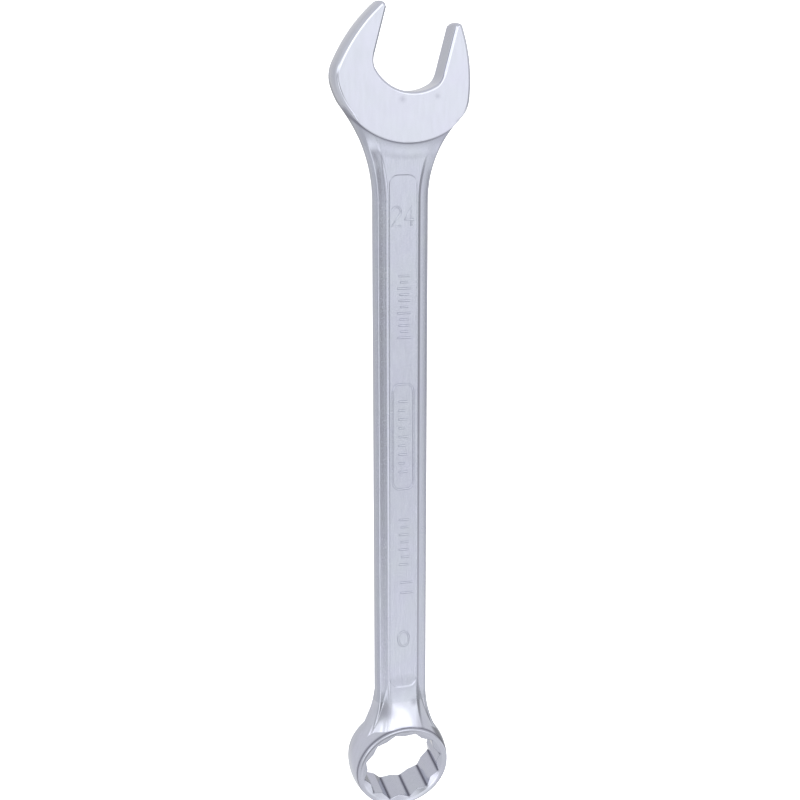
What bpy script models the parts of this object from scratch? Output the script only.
"""Combination wrench, 24 mm across flats: one drop forging, modelled as its three zones.

The zones are the open-end head, the shank and the ring head. They are drawn in the wrench's own
frame, with the shank along +Y, its mid-plane at z = 0 and the ring bore's centre at y = 0. The
finished wrench is then laid on a bench, front face up, with the origin at its footprint's centre.
"""

import math

import bmesh
import bpy
from mathutils import Matrix, Vector

# Driving dimensions, in metres
ACROSS_FLATS = 0.0240
SEAM_GAP = 0.0003

# Open end: the nut's centre, and the head drawn round it in the jaws' own frame
NUT_CENTRE = Vector((0.0033, 0.2440))
JAW_ANGLE = math.radians(15)
HEAD_THICKNESS = 0.0100
HEAD_EDGE = 0.0006
THROAT_RADIUS = 0.0148
BACK_RADIUS = 0.0256
BACK_SETBACK = 0.0058
SHOULDER_RADIUS = 0.0108
SHOULDER_START = math.radians(-32)
FLANK_RADIUS = 0.0550
FLANK_START = math.radians(9)
JAW_TIP_RADIUS = 0.0014

# Shank: a flat land between two bevels, with a long shallow panel on each face
SHANK_THICKNESS = 0.0072
SIDE_HEIGHT = 0.0052
LAND_HALF_WIDTH = 0.0057
HALF_WIDTH_AT_RING = 0.0088
HALF_WIDTH_AT_HEAD = 0.0092
LAND_FLARE = 0.8
PANEL_HALF_WIDTH = 0.0047
PANEL_START = 0.0280
PANEL_END = 0.2026
PANEL_DEPTH = 0.0003

# The shank's flares into the two heads, and the seams where the zones meet
RING_FLARE_START = 0.0275
RING_FLARE_RADIUS = 0.0300
HEAD_FLARE_START = 0.1940
RING_SEAM = 0.0225
HEAD_SEAM = 0.2060
NECK_INSET = 0.0003

# Ring end: a barrel-shaped ring tilted to the shank, with a 12-point bore
RING_TILT = math.radians(15)
RING_DROP = 0.0030
RING_THICKNESS = 0.0138
RING_RADIUS = 0.0171
RING_RIM_RADIUS = 0.0159
BORE_POINTS = 12
CHAMFER_RADIUS = 0.0154
CHAMFER_SLOPE = math.radians(30)
CHAMFER_REACH = 0.0020
NECK_RISE = 0.0036
NECK_FALL = 0.0016
NECK_END = 0.0100
NECK_BELOW_FACE = 0.0007


def clear_scene():
    for obj in list(bpy.data.objects):
        bpy.data.objects.remove(obj, do_unlink=True)


def new_collection(name, shown=True):
    collection = bpy.data.collections.new(name)
    collection.hide_render = not shown
    bpy.context.scene.collection.children.link(collection)
    return collection


def metal(name, colour, roughness):
    material = bpy.data.materials.new(name)
    material.use_nodes = True
    shader = material.node_tree.nodes["Principled BSDF"]
    shader.inputs["Base Color"].default_value = (*colour, 1)
    shader.inputs["Metallic"].default_value = 1.0
    shader.inputs["Roughness"].default_value = roughness
    return material


def new_object(name, mesh, collection):
    obj = bpy.data.objects.new(name, mesh)
    collection.objects.link(obj)
    return obj


def as_cutter(obj):
    obj.hide_render = True
    obj.display_type = "WIRE"
    return obj


def arc(centre, radius, start, end, steps):
    """Points on a circle from one angle to another, both included."""
    turns = [start + (end - start) * i / steps for i in range(steps + 1)]
    return [Vector((centre[0] + radius * math.cos(a), centre[1] + radius * math.sin(a))) for a in turns]


def prism(name, outline, half_height, collection):
    """An outline in the XY plane, filled and extruded both ways, as a welded mesh."""
    curve = bpy.data.curves.new(name, "CURVE")
    curve.dimensions = "2D"
    curve.fill_mode = "BOTH"
    curve.extrude = half_height
    spline = curve.splines.new("POLY")
    spline.points.add(len(outline) - 1)
    for point, (x, y) in zip(spline.points, outline):
        point.co = (x, y, 0, 1)
    spline.use_cyclic_u = True
    guide = new_object(name + "_outline", curve, collection)
    bpy.context.view_layer.update()
    graph = bpy.context.evaluated_depsgraph_get()
    mesh = bpy.data.meshes.new_from_object(guide.evaluated_get(graph))
    bpy.data.objects.remove(guide, do_unlink=True)
    shape = bmesh.new()
    shape.from_mesh(mesh)
    bmesh.ops.remove_doubles(shape, verts=shape.verts, dist=1e-6)
    bmesh.ops.recalc_face_normals(shape, faces=shape.faces)
    shape.to_mesh(mesh)
    shape.free()
    return new_object(name, mesh, collection)


def loft(name, sections, collection):
    """A closed solid through equal-length rings of points."""
    shape = bmesh.new()
    rings = [[shape.verts.new(point) for point in section] for section in sections]
    for ring, following in zip(rings, rings[1:]):
        for i in range(len(ring)):
            j = (i + 1) % len(ring)
            shape.faces.new((ring[i], ring[j], following[j], following[i]))
    shape.faces.new(rings[0])
    shape.faces.new(rings[-1])
    bmesh.ops.recalc_face_normals(shape, faces=shape.faces)
    mesh = bpy.data.meshes.new(name)
    shape.to_mesh(mesh)
    shape.free()
    return new_object(name, mesh, collection)


def boolean(obj, operation, other):
    modifier = obj.modifiers.new(f"{operation.lower()}_{other.name}", "BOOLEAN")
    modifier.operation = operation
    modifier.object = other
    as_cutter(other)


def shade(obj, material, angle=35):
    obj.data.materials.clear()
    obj.data.materials.append(material)
    obj.data.shade_smooth()
    obj.data.set_sharp_from_angle(angle=math.radians(angle))


def head_point(x, y):
    """A point in the jaws' frame, about the nut's centre, in the wrench's frame."""
    return NUT_CENTRE + Matrix.Rotation(-JAW_ANGLE, 2) @ Vector((x, y))


def straight_half_width(y):
    share = (y - RING_FLARE_START) / (HEAD_FLARE_START - RING_FLARE_START)
    return HALF_WIDTH_AT_RING + (HALF_WIDTH_AT_HEAD - HALF_WIDTH_AT_RING) * min(max(share, 0), 1)


def head_flare(side):
    """The arc that leaves the shank's side along +Y and touches the head's round back: radius, end y."""
    back = head_point(0, -BACK_SETBACK)
    across = HALF_WIDTH_AT_HEAD - side * back.x
    along = back.y - HEAD_FLARE_START
    radius = (across**2 + along**2 - BACK_RADIUS**2) / (2 * (BACK_RADIUS - across))
    return radius, HEAD_FLARE_START + along * radius / (radius + BACK_RADIUS)


def half_width(y, side):
    """The shank's half width on one side (+1 or -1), with its flare into either head."""
    width = straight_half_width(y)
    if y < RING_FLARE_START:
        width += RING_FLARE_RADIUS - math.sqrt(RING_FLARE_RADIUS**2 - (RING_FLARE_START - y) ** 2)
    if y > HEAD_FLARE_START:
        radius, end = head_flare(side)
        back = head_point(0, -BACK_SETBACK)
        if y < end:
            width += radius - math.sqrt(radius**2 - (y - HEAD_FLARE_START) ** 2)
        else:
            width = side * back.x + math.sqrt(BACK_RADIUS**2 - (back.y - y) ** 2) - NECK_INSET
    return width


def shank_section(y, top=SHANK_THICKNESS / 2, bottom=-SHANK_THICKNESS / 2):
    """A flattened octagon: a land on each face, bevels, and short upright sides."""
    middle = (top + bottom) / 2
    upright = SIDE_HEIGHT / 2 * (top - bottom) / SHANK_THICKNESS
    section = []
    for side in (1, -1):
        width = half_width(y, side)
        land = LAND_HALF_WIDTH + (width - HALF_WIDTH_AT_RING) * LAND_FLARE
        corners = [(land, bottom), (width, middle - upright), (width, middle + upright), (land, top)]
        section += [Vector((side * x, y, z)) for x, z in corners[::side]]
    return section


def jaw_outline():
    """The open-end head's outline, drawn in the jaws' frame with the mouth towards +Y."""
    grip = ACROSS_FLATS / 2
    corner = math.acos(grip / THROAT_RADIUS)
    back = Vector((0, -BACK_SETBACK))
    toward_shoulder = Vector((math.cos(SHOULDER_START), math.sin(SHOULDER_START)))
    shoulder = back + (BACK_RADIUS - SHOULDER_RADIUS) * toward_shoulder
    toward_flank = Vector((math.cos(FLANK_START), math.sin(FLANK_START)))
    flank = shoulder - (FLANK_RADIUS - SHOULDER_RADIUS) * toward_flank
    reach = FLANK_RADIUS - JAW_TIP_RADIUS
    tip_x = grip + JAW_TIP_RADIUS
    tip = Vector((tip_x, flank.y + math.sqrt(reach**2 - (tip_x - flank.x) ** 2)))
    flank_end = math.atan2(tip.y - flank.y, tip.x - flank.x)
    right = arc((0, 0), THROAT_RADIUS, -math.pi / 2, -corner, 16)
    right += arc(tip, JAW_TIP_RADIUS, math.pi, flank_end, 8)
    right += arc(flank, FLANK_RADIUS, flank_end, FLANK_START, 12)[1:]
    right += arc(shoulder, SHOULDER_RADIUS, FLANK_START, SHOULDER_START, 8)[1:]
    right += arc(back, BACK_RADIUS, SHOULDER_START, -math.pi / 2, 16)[1:]
    left = [Vector((-p.x, p.y)) for p in reversed(right[1:-1])]
    return [head_point(*p) for p in right + left]


def neck_at_head(collection):
    """The flare from the shank into the round back of the head."""
    back = head_point(0, -BACK_SETBACK)
    end = back.y - BACK_RADIUS * math.sin(math.radians(38))
    steps = 12
    sections = [shank_section(HEAD_SEAM + (end - HEAD_SEAM) * i / steps) for i in range(steps + 1)]
    return loft("head_neck_blank", sections, collection)


def make_open_end_head(collection, cutters, material):
    head = prism("open_end_head", jaw_outline(), HEAD_THICKNESS / 2, collection)
    bevel = head.modifiers.new("ground_edges", "BEVEL")
    bevel.width = HEAD_EDGE
    bevel.segments = 2
    bevel.limit_method = "ANGLE"
    bevel.angle_limit = math.radians(60)
    boolean(head, "UNION", neck_at_head(cutters))
    shade(head, material)
    return head


def make_shank(collection, cutters, material):
    start = RING_SEAM + SEAM_GAP
    end = HEAD_SEAM - SEAM_GAP
    stations = [start, (start + RING_FLARE_START) / 2, RING_FLARE_START]
    stations += [HEAD_FLARE_START + (end - HEAD_FLARE_START) * i / 4 for i in range(5)]
    shank = loft("shank", [shank_section(y) for y in stations], collection)
    radius = PANEL_HALF_WIDTH
    panel = arc((0, PANEL_END - radius), radius, 0, math.pi, 16)
    panel += arc((0, PANEL_START + radius), radius, math.pi, 2 * math.pi, 16)
    for side, height in (("front", SHANK_THICKNESS / 2), ("back", -SHANK_THICKNESS / 2)):
        cutter = prism(f"{side}_panel_cutter", panel, PANEL_DEPTH, cutters)
        cutter.location.z = height
        boolean(shank, "DIFFERENCE", cutter)
    shade(shank, material)
    return shank


def ring_profile():
    """Half of the ring's outside, from the axis over the rim and down the barrel to the axis again."""
    rise = RING_THICKNESS / 2
    bulge = RING_RADIUS - RING_RIM_RADIUS
    barrel = (rise**2 + bulge**2) / (2 * bulge)
    sweep = math.asin(rise / barrel)
    wall = arc((RING_RADIUS - barrel, 0), barrel, sweep, -sweep, 12)
    return [Vector((0, rise)), *wall, Vector((0, -rise))]


def turned(name, profile, collection, steps=94):
    """A profile of (radius, height) points spun round Z."""
    mesh = bpy.data.meshes.new(name)
    points = [(radius, 0, height) for radius, height in profile]
    mesh.from_pydata(points, [(i, i + 1) for i in range(len(points) - 1)], [])
    obj = new_object(name, mesh, collection)
    screw = obj.modifiers.new("spin", "SCREW")
    screw.steps = steps
    screw.render_steps = steps
    screw.use_merge_vertices = True
    screw.merge_threshold = 0.00001
    return obj


def bore_outline():
    """Two hexagons on one centre, a twelfth of a turn apart, with a tooth on the wrench's long axis."""
    point = ACROSS_FLATS / 2 / math.cos(math.radians(30))
    notch = ACROSS_FLATS / 2 / math.cos(math.radians(15))
    step = math.pi / BORE_POINTS
    radii = [notch, point] * BORE_POINTS
    return [Vector((r * math.sin(i * step), r * math.cos(i * step))) for i, r in enumerate(radii)]


def ring_frame():
    return Matrix.Translation((0, 0, -RING_DROP)) @ Matrix.Rotation(RING_TILT, 4, "X")


def neck_at_ring(collection):
    """From the shank's end up the ring's outside, always under the ring's tilted face."""
    half = SHANK_THICKNESS / 2
    face = RING_THICKNESS / 2 / math.cos(RING_TILT) - RING_DROP - NECK_BELOW_FACE
    steps = 10
    sections = []
    for i in range(steps + 1):
        y = RING_SEAM + (NECK_END - RING_SEAM) * i / steps
        share = min(2 * i / steps, 1)
        climb = share * share * (3 - 2 * share)
        top = min(half + NECK_RISE * climb, face + y * math.tan(RING_TILT))
        sections.append(shank_section(y, top, -half - NECK_FALL * climb))
    return loft("ring_neck_blank", sections, collection)


def make_ring_head(collection, cutters, material):
    ring = turned("ring_head", ring_profile(), collection)
    ring.matrix_world = ring_frame()
    boolean(ring, "UNION", neck_at_ring(cutters))
    bore = prism("bore_cutter", bore_outline(), RING_THICKNESS, cutters)
    bore.matrix_world = ring_frame()
    boolean(ring, "DIFFERENCE", bore)
    rise = RING_THICKNESS / 2
    mouth = CHAMFER_RADIUS + CHAMFER_REACH / math.tan(CHAMFER_SLOPE)
    tip = rise - CHAMFER_RADIUS * math.tan(CHAMFER_SLOPE)
    cone = [(0, rise + CHAMFER_REACH), (mouth, rise + CHAMFER_REACH), (0, tip)]
    for side, turn in (("front", 0), ("back", math.pi)):
        chamfer = turned(f"{side}_chamfer_cutter", cone, cutters)
        chamfer.matrix_world = ring_frame() @ Matrix.Rotation(turn, 4, "X")
        boolean(ring, "DIFFERENCE", chamfer)
    shade(ring, material)
    return ring


def world_points(objects):
    graph = bpy.context.evaluated_depsgraph_get()
    found = []
    for obj in objects:
        evaluated = obj.evaluated_get(graph)
        mesh = evaluated.to_mesh()
        found.append([evaluated.matrix_world @ v.co for v in mesh.vertices])
        evaluated.to_mesh_clear()
    return found


def lay_on_bench(root, head, ring, parts):
    """Tilts the wrench until both ends touch z = 0, and centres its footprint on the origin."""
    for _ in range(4):
        bpy.context.view_layer.update()
        lows = [min(points, key=lambda p: p.z) for points in world_points([head, ring])]
        root.rotation_euler.x -= math.atan2(lows[0].z - lows[1].z, lows[0].y - lows[1].y)
    bpy.context.view_layer.update()
    points = [p for group in world_points(parts) for p in group]
    low = Vector([min(p[k] for p in points) for k in range(3)])
    high = Vector([max(p[k] for p in points) for k in range(3)])
    root.location -= Vector(((low.x + high.x) / 2, (low.y + high.y) / 2, low.z))


def main():
    clear_scene()
    wrench = new_collection("combination_wrench")
    cutters = new_collection("cutters", shown=False)
    polished = metal("polished_chrome", (0.80, 0.81, 0.84), 0.12)
    satin = metal("satin_chrome", (0.70, 0.71, 0.74), 0.35)
    head = make_open_end_head(wrench, cutters, polished)
    shank = make_shank(wrench, cutters, satin)
    ring = make_ring_head(wrench, cutters, polished)
    root = bpy.data.objects.new("wrench_frame", None)
    wrench.objects.link(root)
    parts = [head, shank, ring]
    for obj in [*parts, *cutters.objects]:
        obj.parent = root
    lay_on_bench(root, head, ring, parts)


main()
